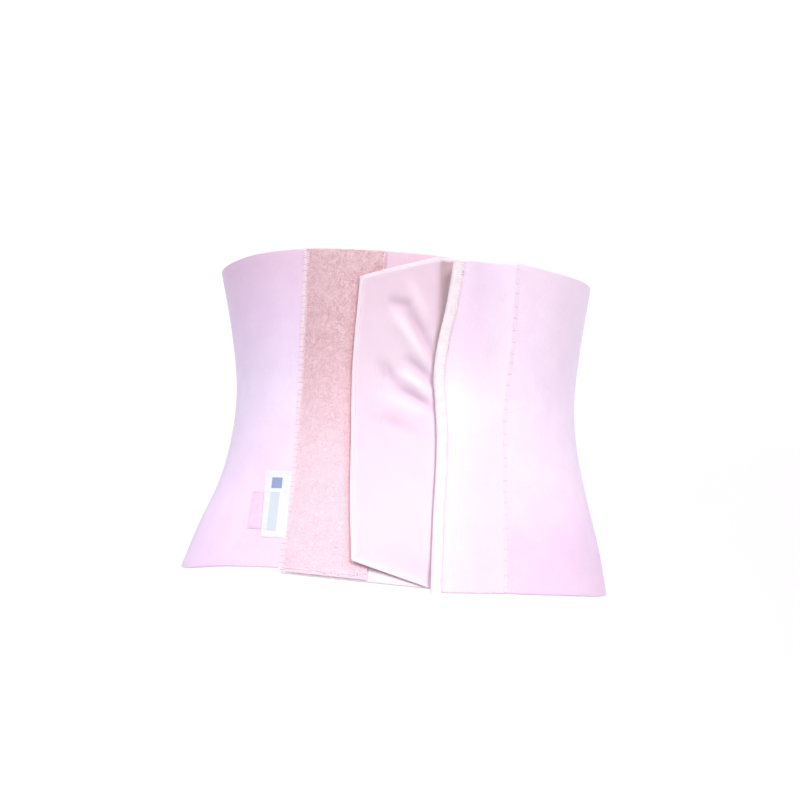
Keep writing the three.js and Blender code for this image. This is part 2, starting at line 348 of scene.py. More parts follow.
# %% [markdown]
# ## The panels
# The side and back panel and the two front panels are one cloth: a pale lilac knit on thin foam, brushed
# until its ribs hardly show. Its colour is painted darker and pinker under the upper rim on the left, as
# shade, and painted nearly white on the right front panel from the waist down, less so by the seam, as a
# pool of light. That could be painted by hand, but a short table of height, deep dye and light dye is easier
# to change, and a second one can take over across the cloth.

# %% Lilac knit
RIGHT_SIDE_DYES = [
    (-150, "f0d4f0", "f5dcf5"),
    (-115, "eed1f0", "f3d9f4"),
    (-60, "f3dff6", "f8e7fa"),
    (0, "f4e1fa", "f9eafe"),
    (60, "f4e1f8", "fae9fb"),
    (106, "f4e0f5", "fae7fa"),
]
# The upper rows are painted darker and pinker than the dye, as shade under the upper rim on the left.
LEFT_SIDE_DYES_AND_PAINTED_SHADE = [
    (-150, "f1d7f2", "f6dff7"),
    (-80, "f2dbf5", "f7e3f9"),
    (0, "f3e2fa", "f8ebfe"),
    (60, "f0d7f2", "f5dff7"),
    (106, "ebcce4", "f2d6eb"),
]
# Its top row is painted darker, as shade under the upper rim on the left.
LEFT_FRONT_DYES_AND_PAINTED_SHADE = [(-150, "ece0e4", "f2e7ea"), (60, "f0d7ee", "f5dff2"), (100, "ebcddd", "f0d4e2")]
# From the waist down these rows are painted nearly white, as a pool of light on the right front panel.
RIGHT_FRONT_DYES_AND_PAINTED_LIGHT = [
    (-150, "f2e0f2", "f6e6f6"),
    (-60, "f5e4f3", "f8e9f6"),
    (-8, "f8edf8", "fcf3fb"),
    (35, "f3dcf4", "f8e4f9"),
    (106, "f5e1fa", "fae8fd"),
]
# By the seam the painted light is weaker.
BY_SEAM_DYES_AND_PAINTED_LIGHT = [
    (-150, "f2dcf1", "f5e2f5"),
    (-60, "f4e0f2", "f7e5f5"),
    (-8, "f6e7f6", "faeef9"),
    (35, "f4e6f6", "f9eefa"),
    (106, "f5e1fa", "fae8fd"),
]


def lilac_knit(name, dyes, far_dyes=None, change=None):
    """Brushed knit with its dyes by height, and others past a change across the cloth, in metres."""
    look = new_look(name, roughness=0.9, nap=0.42, nap_dye="eaeeff")
    mottle = weighted(look, [(grain(look, 45), 0.7), (grain(look, 300), 0.3)])
    colour = dyed_by_height(look, mottle, dyes)
    if far_dyes:
        across = node(look, "ShaderNodeSeparateXYZ", {"Vector": look.weave}).outputs["X"]
        far = stretched(look, across, *change)
        colour = mixed(look, far, colour, dyed_by_height(look, mottle, far_dyes))
    brushed = [(ribs(look, 1.7, "X"), 0.4), (grain(look, 900, 2.0), 0.4)]
    return finished(look, colour, brushed, depth=0.2)


# The left side's table holds painted shade under the upper rim.
side_knit = lilac_knit("lilac_knit", RIGHT_SIDE_DYES, LEFT_SIDE_DYES_AND_PAINTED_SHADE, (0.2, 0.5))
print("finish:", side_knit.name)

# %% [markdown]
# ## The side and back panel
# One panel goes from the right front seam round the back to the left front seam. The tight closure pulls the
# right seam to the left at the waist, and the left seam bends outwards above the lower rim. Worn cloth isn't
# perfectly smooth. A Displace modifier with noise would look lumpy, so two low waves run over the panel, and
# it puckers along both seams where the thread draws it in.

# %% Side and back panel
WALL = 2.5
FLUSH_EDGE = 0.4
SEAM_GAP = 0.05
SEAM_EASE = 40
WRAP_CUT = (700, 250)
# Height of the waves, how many go round the body, and mm up it for a radian.
BROAD_WAVE, BROAD_COUNT, BROAD_RISE = 0.4, 5, 37
FINE_WAVE, FINE_COUNT, FINE_RISE = 0.25, 8, 31
PUCKER_WIDTH, PUCKER_SLIP, PUCKER_RUN = 5, 0.7, 19
# Depth and pitch of the puckers.
SEAM_PUCKER = 0.06, 7

# Height, place of the seam.
right_seam = smooth_columns([(-152, 84.4), (-110, 83.2), (-55, 81), (-8, 79.8), (40, 83.9), (107, 84.2)])
left_seam = smooth_columns([
    (-152, -87.4), (-118, -84.6), (-90, -83.2), (-50, -82.7), (30, -83.5), (107, -83.5),
])
# Share of the way from the right seam to the left one, upper rim, lower rim.
wrap_rims = smooth_columns([
    (0, 104.8, -150.2),
    (0.06, 103.4, -149.8),
    (0.15, 103.6, -149),
    (0.5, 102, -139),
    (0.72, 101.4, -140.5),
    (0.8, 100.6, -144.3),
    (0.86, 101.4, -145.4),
    (0.93, 105, -142),
    (1, 106.5, -140.4),
])


def worn_waves(turn, z):
    """The ease of worn cloth, in mm, by turns round the body and height."""
    broad = BROAD_WAVE * np.sin(2 * math.pi * BROAD_COUNT * turn + 1.3) * np.sin(z / BROAD_RISE + 0.4)
    return broad + FINE_WAVE * np.sin(2 * math.pi * FINE_COUNT * turn - z / FINE_RISE + 2.1)


def pucker(from_seam, z, deep, pitch):
    """Cloth drawn in by a seam: small uneven waves along it that fade within a few millimetres."""
    fade = np.exp(-(from_seam / PUCKER_WIDTH) ** 2)
    return deep * fade * (np.sin(2 * math.pi * z / pitch + PUCKER_SLIP * np.sin(z / PUCKER_RUN)) - 1)


def side_ease(s, z):
    """How far the panel stands off the body, with s counted on round the back."""
    from_seam = np.minimum(s - right_seam(z), girth(z) + left_seam(z) - s)
    waves = worn_waves(s / girth(z), z) * np.clip(from_seam / SEAM_EASE, 0, 1)
    return waves + pucker(from_seam, z, *SEAM_PUCKER)


def between(first, last, share):
    return first + (last - first) * share


def lay_wrap(u, v, out):
    top, bottom = wrap_rims(u)
    z = between(bottom, top, v)
    s = between(right_seam(z) + SEAM_GAP / 2, girth(z) + left_seam(z) - SEAM_GAP / 2, u)
    return s, z, WALL / 2 + side_ease(s, z) + out


wrap_panel = cloth_sheet(
    "side_and_back_panel", WRAP_CUT, WALL, lay_wrap, step=3, edge=FLUSH_EDGE, even_weave=True
)
dress(wrap_panel, side_knit, "wrap_panel")

# %% [markdown]
# ## The left front panel
# This panel carries the loop strip and runs on under the closure, where it hides. At the left seam it was
# sewn on a little low, so that its corner shows below the side panel.

# %% Left front panel
LEFT_FRONT_FROM_S, UNDERLAP_S = -83.5, 50
LEFT_FRONT_CUT = (134, 250)

# Share of the way from the left seam to the underlap's edge, upper rim, lower rim.
left_front_rims = smooth_columns([
    (0, 106.5, -144.5),
    (0.5, 104.5, -147.5),
    (0.83, 102.6, -149.6),
    (1, 99.5, -150.5),
])


def lay_left_front(u, v, out):
    top, bottom = left_front_rims(u)
    z = between(bottom, top, v)
    first = left_seam(z) + SEAM_GAP / 2
    s = between(first, UNDERLAP_S, u)
    return s, z, WALL / 2 + pucker(s - first, z, *SEAM_PUCKER) + out


left_front = cloth_sheet(
    "left_front_panel_cloth", LEFT_FRONT_CUT, WALL, lay_left_front, step=2, edge=FLUSH_EDGE
)
# The top of this knit is painted darker, as shade under the upper rim.
dress(left_front, lilac_knit("left_front_knit", LEFT_FRONT_DYES_AND_PAINTED_SHADE), "left_front_panel")

# %% [markdown]
# ## The flap's pattern
# The flap is shorter at its free end than at its root, and its top and bottom edges slant. Its top is tucked
# down where it goes under the right panel. Its outline comes before the loop strip, because the strip is
# painted a deeper rose beside it, as shade, and no loops are made where it covers them.

# %% The flap's outline
# Height, place of the flap's free end.
flap_end = smooth_columns([(-132, -31.8), (-88, -36), (-40, -38.3), (15, -40.6), (84, -38.7)])
FLAP_TOP_END_Z, FLAP_TOP_ROOT_Z, FLAP_TOP_SLANT_TO_S = 84, 101, 18
FLAP_BOTTOM_END_Z, FLAP_BOTTOM_ROOT_Z, FLAP_BOTTOM_SLANT_TO_S = -132, -149.5, 27
FLAP_TUCK_FROM_S, FLAP_TUCK_TO_S, FLAP_TUCK_Z = 28, 42, 96
FLAP_ROOT_S = 52


def eased(x, low, high):
    """0 below low, 1 above high, and a smooth step between them."""
    t = np.clip((x - low) / (high - low), 0, 1)
    return t * t * (3 - 2 * t)


def flap_place(u, v):
    """Pattern place on the flap, u from its end to its root and v from its bottom edge to its top edge."""
    end_z = between(FLAP_BOTTOM_END_Z, FLAP_TOP_END_Z, v)
    slant_to = between(FLAP_BOTTOM_SLANT_TO_S, FLAP_TOP_SLANT_TO_S, v)
    end_s = flap_end(end_z)
    s = between(end_s, FLAP_ROOT_S, u)
    top_z = between(FLAP_TOP_ROOT_Z, FLAP_TUCK_Z, eased(s, FLAP_TUCK_FROM_S, FLAP_TUCK_TO_S))
    root_z = between(FLAP_BOTTOM_ROOT_Z, top_z, v)
    return s, between(end_z, root_z, np.clip((s - end_s) / (slant_to - end_s), 0, 1))


def from_flap_edge(s, z):
    """How far a place lies inside the flap's end and slanting edges, in mm, negative outside."""
    inside = s - flap_end(z)
    for end_z, root_z, slant_to, way in (
        (FLAP_TOP_END_Z, FLAP_TOP_ROOT_Z, FLAP_TOP_SLANT_TO_S, 1),
        (FLAP_BOTTOM_END_Z, FLAP_BOTTOM_ROOT_Z, FLAP_BOTTOM_SLANT_TO_S, -1),
    ):
        end_s = flap_end(end_z)
        slope = (root_z - end_z) / (slant_to - end_s)
        line = end_z + slope * np.minimum(s - end_s, slant_to - end_s)
        inside = np.minimum(inside, way * (line - z) / math.hypot(1, slope))
    return inside


print("flap end at mid height, mm from the centre line:", flap_end(0.0).round(1))

# %% [markdown]
# ## The loop strip
# Loop pile is a knitted ground with thousands of fine loops on it. A hair system could grow them, but loops
# that are meshes look the same in every program. So the strip is two pieces: a felted ground with a rough
# relief, and a scatter of small arched ribbons that lean every way. The pile is darker and browner near the
# top and pale below. Beside the flap it is painted a deeper rose, as the shade of the lifted flap. The seam
# presses the strip flat along its edge.

# %% Loop pile
PILE_DYES = [
    (-130, "f2d9e6", "f7e1ec"),
    (-50, "f1d6e0", "f8e1ea"),
    (0, "eac8d0", "f5d8e0"),
    (40, "e2bbc1", "f0d3d9"),
    (105, "e5c0c6", "f2d6db"),
]
# Painted shade: a deeper rose on the pile beside the flap's edge, where the lifted flap shades it.
BESIDE_FLAP_PAINTED_SHADE = [
    (-130, "efc8d1", "f4d2da"),
    (0, "e5b8c0", "f0cad1"),
    (40, "ddaeb1", "ebc6c9"),
    (105, "deb2b9", "ecccd2"),
]


def rose_pile():
    look = new_look("rose_pile", roughness=1.0, nap=0.5, nap_dye="ffe8ec")
    patches, curls = grain(look, 90, 4.0), grain(look, 330, 3.0, 1.6)
    tone = weighted(look, [(patches, 0.15), (curls, 0.6), (grain(look, 900), 0.25)])
    felted = stretched(look, tone, *NOISE_RANGE)
    # The share beside the flap chooses the painted shade.
    beside = node(look, "ShaderNodeAttribute", attribute_name="beside").outputs["Fac"]
    plain, painted_shade = (dyed_by_height(look, felted, rows) for rows in (PILE_DYES, BESIDE_FLAP_PAINTED_SHADE))
    colour = mixed(look, beside, plain, painted_shade)
    return finished(look, colour, [(curls, 1.0), (patches, 0.6)], depth=0.3)


pile_finish = rose_pile()
print("finish:", pile_finish.name)

# %% Loop strip
GAP = 0.3
LOOP_PILE, GROUND = 1.2, 0.8
LOOP_FROM_SEAM, LOOP_TO_S = 1.0, -20
LOOP_TOP_INSET, LOOP_BOTTOM_INSET = 0.6, 1.6
LOOP_LIFT = WALL + GAP
LOOP_CUT = (62.5, 248)
PRESSED_WIDTH, PRESSED_THICKNESS = 12, 0.35
FLAP_SHADE_WIDTH = 9


def left_front_rims_at(s):
    return left_front_rims((s - LEFT_FRONT_FROM_S) / (UNDERLAP_S - LEFT_FRONT_FROM_S))


# Painted shade on the pile beside the flap, kept on the strip and on its loops.
def flap_shade_share(s, z):
    """1 under the flap, 0 some way outside it."""
    return eased(from_flap_edge(s, z), -FLAP_SHADE_WIDTH, 0)


def strip_layer(from_edge):
    """Lift of the strip's middle and its thickness, by the way from its sewn edge."""
    pressed = 1 - eased(from_edge, 0, PRESSED_WIDTH)
    thick = between(GROUND, PRESSED_THICKNESS, pressed)
    return LOOP_LIFT - GAP * pressed + thick / 2, thick


def lay_loop_strip(u, v, out):
    top, bottom = left_front_rims_at(between(LEFT_FRONT_FROM_S, LOOP_TO_S, u))
    z = between(bottom + LOOP_BOTTOM_INSET, top - LOOP_TOP_INSET, v)
    first = left_seam(z) + LOOP_FROM_SEAM
    s = between(first, LOOP_TO_S, u)
    middle, thick = strip_layer(s - first)
    return s, z, middle + out * thick / GROUND


pile_shares = {"beside": flap_shade_share}
loop_strip = cloth_sheet("loop_strip_ground", LOOP_CUT, GROUND, lay_loop_strip, step=1.5, shares=pile_shares)
dress(loop_strip, pile_finish, "loop_strip")

# %% Loops of the pile
LOOPS = 17000
LOOP_SPREAD, LOOP_RISE, RIBBON, LOOP_ROOT = 0.65, 0.42, 0.09, 0.1
LOOP_SIZES, TIP_SLIP, CROSS_LINES = (0.6, 1.15), 0.4, 5
MARGIN_U, MARGIN_V = 0.006, 0.003
chance = np.random.default_rng(5)


def pile_loops():
    """Small arched ribbons of a few cross lines each, on the part of the strip that shows."""
    u, v = chance.random((2, LOOPS * 2))
    s, z, _ = lay_loop_strip(between(MARGIN_U, 1 - MARGIN_U, u), between(MARGIN_V, 1 - MARGIN_V, v), 0)
    shown = np.flatnonzero(from_flap_edge(s, z) < -LOOP_SPREAD)[:LOOPS]
    s, z = s[shown, None, None], z[shown, None, None]
    middle, thick = strip_layer(s - left_seam(z) - LOOP_FROM_SEAM)
    lean = chance.uniform(0, 2 * math.pi, s.shape)
    size = chance.uniform(*LOOP_SIZES, s.shape)
    arch = np.linspace(-1, 1, CROSS_LINES)[None, :, None]
    across = np.array([-1, 1])[None, None, :] * RIBBON
    along = LOOP_SPREAD * size * arch
    tip = across + chance.uniform(-TIP_SLIP, TIP_SLIP, s.shape) * (1 - arch ** 2)
    s = s + along * np.cos(lean) - tip * np.sin(lean)
    z = z + along * np.sin(lean) + tip * np.cos(lean)
    lift = middle + thick / 2 - LOOP_ROOT + LOOP_RISE * size * (1 - arch ** 2)
    faces = quads(np.arange(s.size).reshape(-1, CROSS_LINES, 2)).tolist()
    return woven_piece("loop_pile_loops", on_body(s, z, lift), faces, s, z, pile_shares)


loops = pile_loops()
dress(loops, pile_finish)
print("loops:", len(loops.data.polygons) // (CROSS_LINES - 1))

# %% [markdown]
# ## The hook tape
# Behind the flap's end a tape of moulded hooks grips the loops. It hardly shows from any side, so it stays a
# plain tape, with the rows of hooks as a relief in its finish.

# %% Hook tape
def hook_nylon():
    look = new_look("hook_nylon", roughness=0.6, nap=0.0, nap_dye="ffffff")
    rows = ribs(look, 1.3, "X")
    colour = mixed(look, rows, dye("e6cfd8"), dye("f4e4ea"))
    return finished(look, colour, [(rows, 1.0), (ribs(look, 1.1, "Y"), 1.0)], depth=0.3)


HOOK_TAPE = 0.8
HOOK_LIFT = LOOP_LIFT + LOOP_PILE + GAP
HOOK_TO_S, HOOK_TOP_Z = -21.5, 76
HOOK_CUT = (10, 200)


def lay_hooks(u, v, out):
    s = HOOK_TO_S - HOOK_CUT[0] * (1 - u)
    return s, HOOK_TOP_Z - HOOK_CUT[1] * (1 - v), HOOK_LIFT + HOOK_TAPE / 2 + out


hook_tape = cloth_sheet("hook_tape", HOOK_CUT, HOOK_TAPE, lay_hooks, step=2)
dress(hook_tape, hook_nylon(), "hook_patch")

# %% [markdown]
# ## The right front panel
# The panel lies over the root of the flap. Its free edge is pulled to the left at the waist, where the
# closure is tightest, and gapes away from the flap towards the top. So it stands off the body by the layers
# under it, gapes at the edge, and comes down on the body again before the right seam.

# %% Right front panel
FLAP_CLOTH, BINDING_TAPE, BINDING_WIDTH = 1.4, 0.7, 5.5
FLAP_LIFT = HOOK_LIFT + HOOK_TAPE + GAP
PANEL_EDGE_LIFT = FLAP_LIFT + FLAP_CLOTH + GAP + BINDING_TAPE + GAP
PANEL_DOWN_FROM_S, PANEL_DOWN_TO_S, PANEL_GAPE_WIDTH = 37, 81, 30
RIGHT_FRONT_CUT = (60, 253)
BINDING_PUCKER = 0.1, 8

# Height, place of the free edge, and how far it gapes.
panel_edge = smooth_columns([
    (-152, 27.8, 0),
    (-105, 27.1, 0),
    (-37, 26.8, 0),
    (-6, 23.9, 0),
    (10, 22.1, 0.3),
    (38, 23.8, 1.5),
    (60, 27.4, 3.2),
    (102, 31.4, 6.5),
])
# Share of the way from the free edge to the right seam, upper rim, lower rim.
right_front_rims = smooth_columns([(0, 97.6, -152), (0.25, 99.8, -151.6), (1, 103.6, -150.2)])


def right_front_lift(s, z):
    """Lift of the panel's inner face."""
    edge, gape = panel_edge(z)
    over_flap = 1 - eased(s, PANEL_DOWN_FROM_S, PANEL_DOWN_TO_S)
    return PANEL_EDGE_LIFT * over_flap + gape * (1 - eased(s, edge, edge + PANEL_GAPE_WIDTH))


def lay_right_front(u, v, out):
    top, bottom = right_front_rims(u)
    z = between(bottom, top, v)
    first, last = panel_edge(z)[0], right_seam(z) - SEAM_GAP / 2
    s = between(first, last, u)
    drawn_in = pucker(last - s, z, *SEAM_PUCKER) + pucker(s - first - BINDING_WIDTH, z, *BINDING_PUCKER)
    return s, z, right_front_lift(s, z) + WALL / 2 + drawn_in + out


right_front = cloth_sheet(
    "right_front_panel_cloth", RIGHT_FRONT_CUT, WALL, lay_right_front, step=1.6, edge=FLUSH_EDGE
)
# This knit is painted nearly white from the waist down, as a pool of light, less so by the seam.
knit_with_painted_light = lilac_knit("knit_with_painted_light", RIGHT_FRONT_DYES_AND_PAINTED_LIGHT, BY_SEAM_DYES_AND_PAINTED_LIGHT, (0.05, 0.08))
dress(right_front, knit_with_painted_light, "right_front_panel")

# %% [markdown]
# ## The edge binding
# A cream tape is folded round the free edge and sewn through. It is one sheet whose middle line is a U: an
# inner leaf, a half circle and an outer leaf. Fine ribs run across the tape.

# %% Edge binding
def cream_tape():
    look = new_look("cream_tape", roughness=0.8, nap=0.2, nap_dye="ffffff")
    colour = mixed(look, grain(look, 140), dye("efe4e9"), dye("f6eff2"))
    ribbed = [(ribs(look, 1.5, "Y"), 0.6), (grain(look, 1200), 0.3)]
    return finished(look, colour, ribbed, depth=0.16)


BINDING_RADIUS = WALL / 2 + GAP + BINDING_TAPE / 2
BINDING_TURN = math.pi * BINDING_RADIUS
BINDING_CUT = (2 * BINDING_WIDTH + BINDING_TURN, 253)
binding_top, binding_bottom = right_front_rims(0.0)


def lay_binding(u, v, out):
    z = between(binding_bottom, binding_top, v)
    edge = panel_edge(z)[0]
    way = u * BINDING_CUT[0] - BINDING_WIDTH
    turn = math.pi * (np.clip(way / BINDING_TURN, 0, 1) - 0.5)
    on_leaf = np.maximum(np.maximum(-way, way - BINDING_TURN), 0)
    s = edge + on_leaf - (BINDING_RADIUS + out) * np.cos(turn)
    middle = right_front_lift(np.maximum(s, edge), z) + WALL / 2
    return s, z, middle + (BINDING_RADIUS + out) * np.sin(turn)


binding = cloth_sheet("edge_binding_tape", BINDING_CUT, BINDING_TAPE, lay_binding, step=1.2)
dress(binding, cream_tape(), "edge_binding")

# %% [markdown]
# ## The flap
# The flap is a smooth knit with a turned border on its three free edges. Pulled tight at the waist, it lies
# in slanting folds that spread from the edge of the right panel. A cloth simulation would fold it somewhere,
# but not here in particular, so each fold is listed: a root, a tip, a height and a width. One long valley
# follows the gaping panel, and another lays the lower edge down on the panel below.

# %% The flap's folds
# Root s and z beside the panel's edge, tip s and z on the flap, height of the crest, half width.
FLAP_FOLDS = [
    (24, 24, 27, 170, -2.4, 5),
    (15, 48, -6, 87, 1.2, 5),
    (24, 17, -6, 68, -2.4, 4.5),
    (2, 62, -18, 67, -1.5, 4),
    (17, 18, -15, 60, 2.3, 5),
    (24, 1.5, -3, 26, -2.6, 4),
    (20, -5, -8, 14, 2.5, 4),
    (25, -16.5, -10, 2, -2.6, 3.5),
    (-6, -1, -23, 25, -2.0, 4),
    (18, -21, -25, -5, 1.3, 6),
    (14, -36, -31, -18, -1.2, 5),
]
LAID_DOWN = (60, -158, -24, -128, -2.6, 12)
FOLD_MARGIN = 5
FLAP_SEWN_FROM_S, FLAP_SEWN_TO_S = 39, 45


def fold_rise(s, z, folds):
    """The rise of some folds at a place, in mm."""
    rise = 0
    for root_s, root_z, tip_s, tip_z, height, width in folds:
        run_s, run_z = tip_s - root_s, tip_z - root_z
        long = math.hypot(run_s, run_z)
        share = ((s - root_s) * run_s + (z - root_z) * run_z) / long ** 2
        across = ((s - root_s) * run_z - (z - root_z) * run_s) / long / width
        rise = rise + height * np.exp(-across ** 2) * np.sin(math.pi * np.clip(share, 0, 1))
    return rise


def flap_inner_lift(s, z):
    """Lift of the flap's inner face, from the hook tape through the folds to the panel it is sewn to."""
    under = np.where(s < LOOP_TO_S + FOLD_MARGIN, LOOP_LIFT + LOOP_PILE, WALL)
    under = np.where(s < HOOK_TO_S + FOLD_MARGIN, HOOK_LIFT + HOOK_TAPE, under)
    free = np.maximum(FLAP_LIFT + fold_rise(s, z, [*FLAP_FOLDS, LAID_DOWN]), under + GAP)
    held = right_front_lift(s, z) - GAP - FLAP_CLOTH
    return between(free, held, eased(s, FLAP_SEWN_FROM_S, FLAP_SEWN_TO_S))


flap_s, flap_z = np.arange(flap_end(0.0), FLAP_ROOT_S), np.arange(FLAP_BOTTOM_ROOT_Z, FLAP_TOP_ROOT_Z)
rises = fold_rise(*np.meshgrid(flap_s, flap_z), FLAP_FOLDS)
print("highest and deepest fold in mm:", rises.max().round(2), rises.min().round(2))

# %% [markdown]
# ## The flap's finish
# Three marks are kept on the flap. The valleys of its folds are painted darker and their crests paler, as
# shade and light, the turned border is paler because it is double, and the strip beside and under the
# panel's gaping edge is painted a deep greyish rose, as the shade that the edge casts. Textures can't know
# where those are, so each is worked out for every point of the mesh and kept there as a share, which the
# finish reads by name.

# %% Painted shade and the turned border on the flap
BORDER, BORDER_FADE = 4.5, (-2.5, 1.5)
FULL_FOLD = 1.8
# Reach of the painted shade beside the panel's edge, its growth with the gape, and its fades.
GAP_SHADE_REACH, GAP_SHADE_BY_GAPE, GAP_SHADE_FADE = 1.8, 1.2, 2
GAP_SHADE_BELOW_TOP = 1.5, 3


def border_share(s, z):
    """1 on the turned border, 0 on the rest of the flap."""
    return 1 - eased(from_flap_edge(s, z) - BORDER, *BORDER_FADE)


# Painted shade and light: the fold valleys take the deep dye and the crests the light dye.
def fold_shade_share(s, z):
    """0 in the deepest fold, 1 on the highest."""
    return eased(fold_rise(s, z, FLAP_FOLDS), -FULL_FOLD, FULL_FOLD)


# Painted shade: dark on the flap under and beside the panel's gaping edge, which shades it.
def gap_shade_share(s, z):
    """1 under the panel's edge and beside it as far as it gapes, but 0 along the flap's top edge."""
    edge, gape = panel_edge(z)
    reach = GAP_SHADE_REACH + GAP_SHADE_BY_GAPE * gape
    beside = 1 - eased(edge - BINDING_RADIUS - s, reach - GAP_SHADE_FADE, reach)
    return beside * eased(FLAP_TOP_ROOT_Z - z, *GAP_SHADE_BELOW_TOP)


flap_shares = {"fold_shade": fold_shade_share, "border": border_share, "gap_shade": gap_shade_share}
print("shares kept on the flap:", *flap_shares)

# %% Flap
BORDER_RISE = 0.25
END_PRESS, END_PRESS_WIDTH, END_PRESS_SLOPE = 1.2, 4, 0.3
FLAP_CUT = (94, 250)
# The upper rows are painted darker, as shade on the flap's upper part.
FLAP_DYES_AND_PAINTED_SHADE = [
    (-150, "e8d0e2", "f5e5f1"),
    (-30, "e7cce1", "f5e3f2"),
    (20, "dfc8da", "f4e6f0"),
    (60, "dcc2d5", "f2e0ec"),
    (100, "dcc0d2", "f0dae8"),
]
BORDER_DYES = [(-148, "ead4e4", "f3e2ee"), (-125, "f4e6f0", "f8ecf4"), (100, "f2e4ee", "f6e9f1")]
# Painted shade under the panel's edge, greyest at the top.
GAP_PAINTED_SHADE_DYES = [(-150, "d8c0c6", "d8c0c6"), (60, "dac4c9", "dac4c9"), (100, "c4abb1", "c4abb1")]


def end_press(s, z):
    """How far the flap's end is pressed down on the loops, before the hook tape begins."""
    room = np.maximum(HOOK_TO_S - HOOK_CUT[0] - flap_end(z), 0)
    fade = 1 - eased(s - flap_end(z), 0, END_PRESS_WIDTH)
    return np.minimum(END_PRESS, END_PRESS_SLOPE * room) * fade


def on_flap(s, z):
    """Lift of the flap's outer face where its border isn't turned."""
    return flap_inner_lift(s, z) + FLAP_CLOTH


def lay_flap(u, v, out):
    s, z = flap_place(u, v)
    turned = BORDER_RISE * border_share(s, z) * (out > 0)
    return s, z, on_flap(s, z) - FLAP_CLOTH / 2 + out + turned - end_press(s, z)


def pink_tricot():
    look = new_look("pink_tricot", roughness=0.6, nap=0.15, nap_dye="fff0fa")
    fold_shade, border, gap_shade = (
        node(look, "ShaderNodeAttribute", attribute_name=name).outputs["Fac"] for name in flap_shares
    )
    # The tone is mostly painted fold shade, with a little random mottle; it picks deep or light dye in each
    # table.
    tone = weighted(look, [(fold_shade, 0.85), (grain(look, 50), 0.15)])
    body = dyed_by_height(look, tone, FLAP_DYES_AND_PAINTED_SHADE)
    edged = mixed(look, border, body, dyed_by_height(look, tone, BORDER_DYES))
    # Painted shade under and beside the panel's edge.
    deep = dyed_by_height(look, tone, GAP_PAINTED_SHADE_DYES)
    colour = mixed(look, gap_shade, edged, deep)
    knitted = [(ribs(look, 1.2, "X"), 0.35), (grain(look, 1100), 0.25)]
    return finished(look, colour, knitted, depth=0.12)


flap = cloth_sheet("closure_flap_cloth", FLAP_CUT, FLAP_CLOTH, lay_flap, step=1.3, shares=flap_shares)
dress(flap, pink_tricot(), "closure_flap")

# %% [markdown]
# ## The label and the tab
# A white woven label is tucked into the left seam, and a small pink tab lies next to it. Both are thin tapes
# that follow the side panel. The label carries no words, only a pale stripe and a short bar that are woven
# in. A picture could be laid on it, but two boxes of colour on the pattern say the same.

# %% Label and tab
LABEL_TAPE, LABEL_GAP = 0.5, 0.05
LABEL_CUT, TAB_CUT = (23, 51.5), (12.2, 29.5)
# Height, first and last s, at the bottom and at the top.
LABEL_ENDS = np.array([(-118, -106.3, -84.8), (-66.5, -109.3, -84.8)])
TAB_ENDS = np.array([(-112, -120, -107), (-82.5, -120, -108.7)])
# Middle and half width across, middle and half height, dye.
LABEL_WEAVE = [(-97.5, 4.2, -98, 15, "d2dee4"), (-97.0, 4.8, -76, 4.2, "95a4ca")]


def on_tape(s, z):
    """Lift of the outer face of a small tape on the side panel near the left seam."""
    return WALL + side_ease(s + girth(z), z) + LABEL_GAP + LABEL_TAPE


def tape_place(ends):
    """Pattern places on a small tape, u across it and v up it."""
    def place(u, v):
        z, first, last = (between(low, high, v) for low, high in zip(*ends))
        return between(first, last, u), z
    return place


def lay_tape(ends):
    """How a small tape lies on the side panel."""
    def lay(u, v, out):
        s, z = tape_place(ends)(u, v)
        return s, z, on_tape(s, z) - LABEL_TAPE / 2 + out
    return lay


def woven_tape(name, deep, light, boxes=()):
    """A plain woven tape with boxes of other dyes."""
    look = new_look(name, roughness=0.6, nap=0.05, nap_dye="ffffff")
    colour = mixed(look, grain(look, 200), dye(deep), dye(light))
    place = node(look, "ShaderNodeSeparateXYZ", {"Vector": look.weave}).outputs
    for s, half_width, z, half_height, box_dye in boxes:
        within = [
            node(look, "ShaderNodeMath", {0: at, 1: mid * MM, 2: half * MM}, operation="COMPARE").outputs[0]
            for at, mid, half in ((place["X"], s, half_width), (place["Y"], z, half_height))
        ]
        both = node(look, "ShaderNodeMath", {0: within[0], 1: within[1]}, operation="MULTIPLY").outputs[0]
        colour = mixed(look, both, colour, dye(box_dye))
    woven = [(ribs(look, 0.9, "X"), 0.7), (ribs(look, 1.4, "Y"), 0.5)]
    return finished(look, colour, woven, depth=0.1)


label = cloth_sheet("woven_label", LABEL_CUT, LABEL_TAPE, lay_tape(LABEL_ENDS), step=1.5)
dress(label, woven_tape("label_satin", "e4e9ef", "eff2f6", LABEL_WEAVE), "label")

tab = cloth_sheet("small_tab", TAB_CUT, LABEL_TAPE, lay_tape(TAB_ENDS), step=1.5)
dress(tab, woven_tape("tab_tape", "f1d0e8", "f5d8ee"), "size_tab")

# %% [markdown]
# ## Stitches
# Thread shows along every seam. Curves with a round bevel would make it, but there are many hundreds of
# stitches, so each row is one mesh: a six-sided tube is swept along all its stitches at once. A straight
# stitch is a low arch whose two ends dive into the cloth.

# %% Thread
THREAD_SIDES = 6
STITCH_STEPS = np.linspace(0, 1, 6)
PATH_SAMPLES, STITCH_DIVE = 60, 0.6


def thread_finish(name, deep, light):
    look = new_look(name, roughness=0.8, nap=0.1, nap_dye="ffffff")
    twist = ribs(look, 0.5, "DIAGONAL")
    look.tree.links.new(mixed(look, twist, dye(deep), dye(light)), look.surface["Base Color"])
    return look.material


def unit(way):
    return way / np.linalg.norm(way, axis=-1, keepdims=True)


